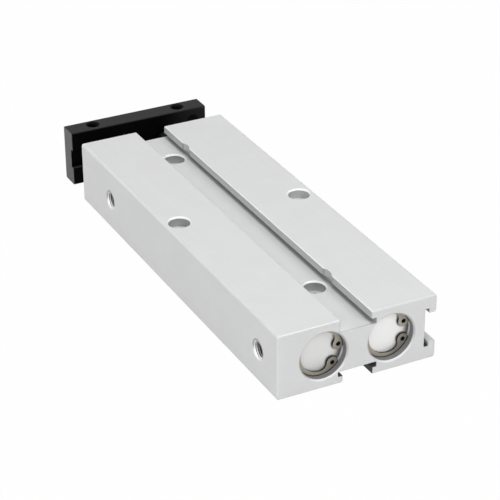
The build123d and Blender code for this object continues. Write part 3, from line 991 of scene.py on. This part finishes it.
def cutSocket(blank, centre, front):
    s = plateScrew
    corner = s["socketWidth"] / math.sqrt(3)
    lead = 2 * s["leadIn"]
    bpy.ops.mesh.primitive_cylinder_add(vertices=6, radius=corner, depth=2 * s["socketDepth"])
    tools = [bpy.context.object]
    bpy.ops.mesh.primitive_cone_add(
        vertices=s["leadInVertices"], radius1=corner - lead, radius2=corner + lead, depth=2 * lead)
    tools.append(bpy.context.object)
    for tool in tools:
        faceForward(tool, centre, front)
    bpy.context.view_layer.update()
    for tool in tools:
        cut = blank.modifiers.new("cut", "BOOLEAN")
        cut.operation = "DIFFERENCE"
        cut.solver = "EXACT"
        cut.object = tool
        applyModifiers(blank)
        bpy.data.objects.remove(tool)


def makePlateScrews():
    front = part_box("plate_screws")[1][0]
    made = []
    for centre in boreCentres:
        blank = makeScrewBlank(centre, front)
        settle(blank, finishes["screw_steel"])
        cutSocket(blank, centre, front)
        made.append(blank)
    bpy.ops.object.select_all(action="DESELECT")
    for blank in made:
        blank.select_set(True)
    bpy.context.view_layer.objects.active = made[0]
    bpy.ops.object.join()
    screws = bpy.context.object
    screws.name = "plateScrews"
    settle(screws, finishes["screw_steel"])
    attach(screws, "rod_assembly")
    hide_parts("plate_screws")


makePlateScrews()
print("plate screws made")

# The floor and the sky are white to the camera, and the floor keeps a little of the shadow
floorLook = {"size": 6.0, "drop": 0.0002, "colour": 0.6, "glow": 0.985}
sky = {"level": 0.28}


# 1 for the rays that should see white: the camera's, and those in metal and glass
def whiteToView(tree):
    path = tree.nodes.new("ShaderNodeLightPath")
    camera = Wire(tree, path.outputs["Is Camera Ray"])
    glossy = Wire(tree, path.outputs["Is Glossy Ray"])
    through = Wire(tree, path.outputs["Is Transmission Ray"])
    return camera.most(glossy).most(through)


def makeFloor():
    s = floorLook
    bpy.ops.mesh.primitive_plane_add(size=s["size"], location=(0.0, 0.0, -s["drop"]))
    floor = bpy.context.object
    floor.name = "floor"
    material = bpy.data.materials.new("floorWhite")
    material.use_nodes = True
    tree = material.node_tree
    shader = tree.nodes["Principled BSDF"]
    shader.inputs["Base Color"].default_value = grey(s["colour"])
    shader.inputs["Roughness"].default_value = 1.0
    shader.inputs["Specular IOR Level"].default_value = 0.0
    glow = tree.nodes.new("ShaderNodeEmission")
    mix = tree.nodes.new("ShaderNodeMixShader")
    plug(tree, mix.inputs[0], whiteToView(tree) * s["glow"])
    tree.links.new(shader.outputs[0], mix.inputs[1])
    tree.links.new(glow.outputs[0], mix.inputs[2])
    tree.links.new(mix.outputs[0], tree.nodes["Material Output"].inputs["Surface"])
    floor.data.materials.append(material)
    floor.select_set(False)


def makeSky():
    world = bpy.data.worlds.new("studio")
    bpy.context.scene.world = world
    world.use_nodes = True
    tree = world.node_tree
    background = tree.nodes["Background"]
    background.inputs["Color"].default_value = grey(1.0)
    plug(tree, background.inputs["Strength"], whiteToView(tree) * (1.0 - sky["level"]) + sky["level"])


makeFloor()
makeSky()

lamps = {
    "overhead": {"place": (0.02, -0.05, 1.4), "size": 0.5, "power": 6.6},
    "leftLow": {"place": (0.2, 1.3, 0.35), "size": 0.8, "power": 4.45},
    "behindLeft": {"place": (-1.0, 0.75, 0.6), "size": 0.6, "power": 6.0},
    "behindRight": {"place": (-1.0, -0.5, 0.8), "size": 0.4, "power": 5.55},
}


def makeLamp(name, place, size, power):
    light = bpy.data.lights.new(name, "AREA")
    light.size = size
    light.energy = power
    lamp = bpy.data.objects.new(name, light)
    bpy.context.scene.collection.objects.link(lamp)
    aim = Vector((0.0, 0.0, 0.0)) - Vector(place)
    lamp.matrix_world = Matrix.Translation(place) @ aim.to_track_quat("-Z", "Y").to_matrix().to_4x4()


for lampName, lampSettings in lamps.items():
    makeLamp(lampName, **lampSettings)

# The camera that the photograph's edges give, with the picture 500 pixels wide
photoView = {
    "eye": (-0.666828, 0.329096, 0.409109),
    "azimuth": 153.171,
    "elevation": 28.525,
    "roll": -0.314,
    "focalPixels": 1916.16,
    "pictureWidth": 500.0,
    "sensor": 36.0,
    "clip": (0.01, 20.0),
}


def makeCamera():
    s = photoView
    azimuth, elevation, roll = (math.radians(s[k]) for k in ("azimuth", "elevation", "roll"))
    level = math.cos(elevation)
    back = Vector((level * math.cos(azimuth), level * math.sin(azimuth), math.sin(elevation)))
    right = Vector((0.0, 0.0, 1.0)).cross(back).normalized()
    up = back.cross(right)
    across = right * math.cos(roll) + up * math.sin(roll)
    upright = up * math.cos(roll) - right * math.sin(roll)
    turn = Matrix((across, upright, back)).transposed()
    lens = bpy.data.cameras.new("photoCamera")
    lens.sensor_width = s["sensor"]
    lens.lens = s["focalPixels"] * s["sensor"] / s["pictureWidth"]
    lens.clip_start, lens.clip_end = s["clip"]
    camera = bpy.data.objects.new("photoCamera", lens)
    bpy.context.scene.collection.objects.link(camera)
    camera.matrix_world = Matrix.Translation(s["eye"]) @ turn.to_4x4()
    bpy.context.scene.camera = camera


makeCamera()
bpy.context.scene.view_settings.view_transform = "Standard"
print("stage, lamps and camera ready")
